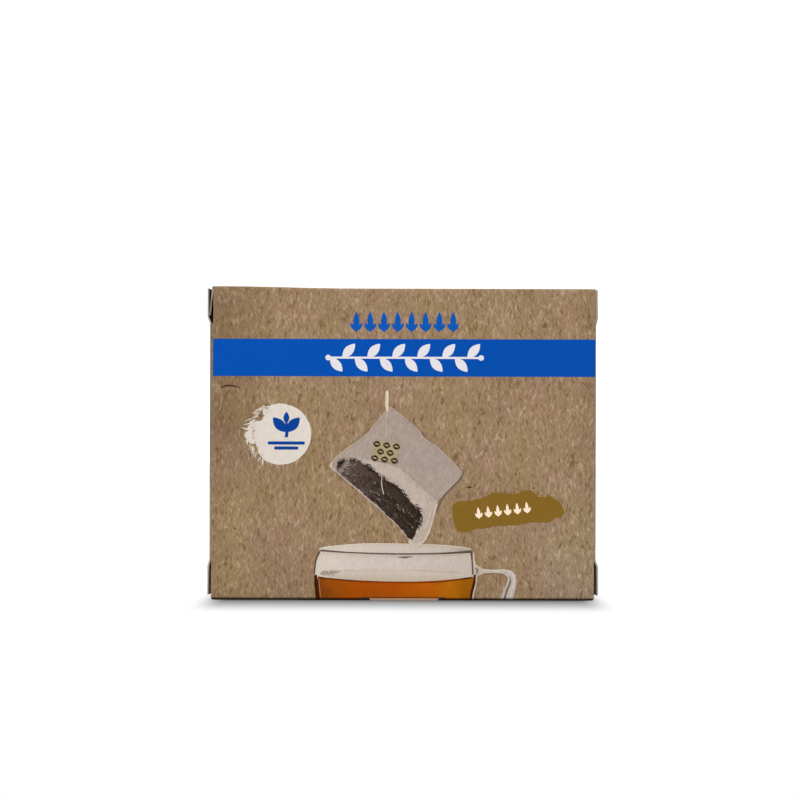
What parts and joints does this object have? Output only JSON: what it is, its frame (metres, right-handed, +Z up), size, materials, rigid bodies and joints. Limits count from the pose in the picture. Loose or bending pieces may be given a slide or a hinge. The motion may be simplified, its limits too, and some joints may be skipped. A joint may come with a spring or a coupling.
{
  "type": "tea bag carton",
  "caption": "Shut kraft-board tea bag carton lying on its long side, with tuck-in ends, sprung slit-lock corners and a thumb tab under the front panel.",
  "frame": {"origin": "under the middle of the whole carton, at the level that it rests on", "axes": "+X to the right along the front panel, -Y out of the front panel, +Z up"},
  "size_m": [0.133, 0.0454, 0.106],
  "materials": {
    "kraft_board": "matte"
  },
  "bodies": {
    "root": {"carton": "kraft_board"}
  },
  "joints": []
}
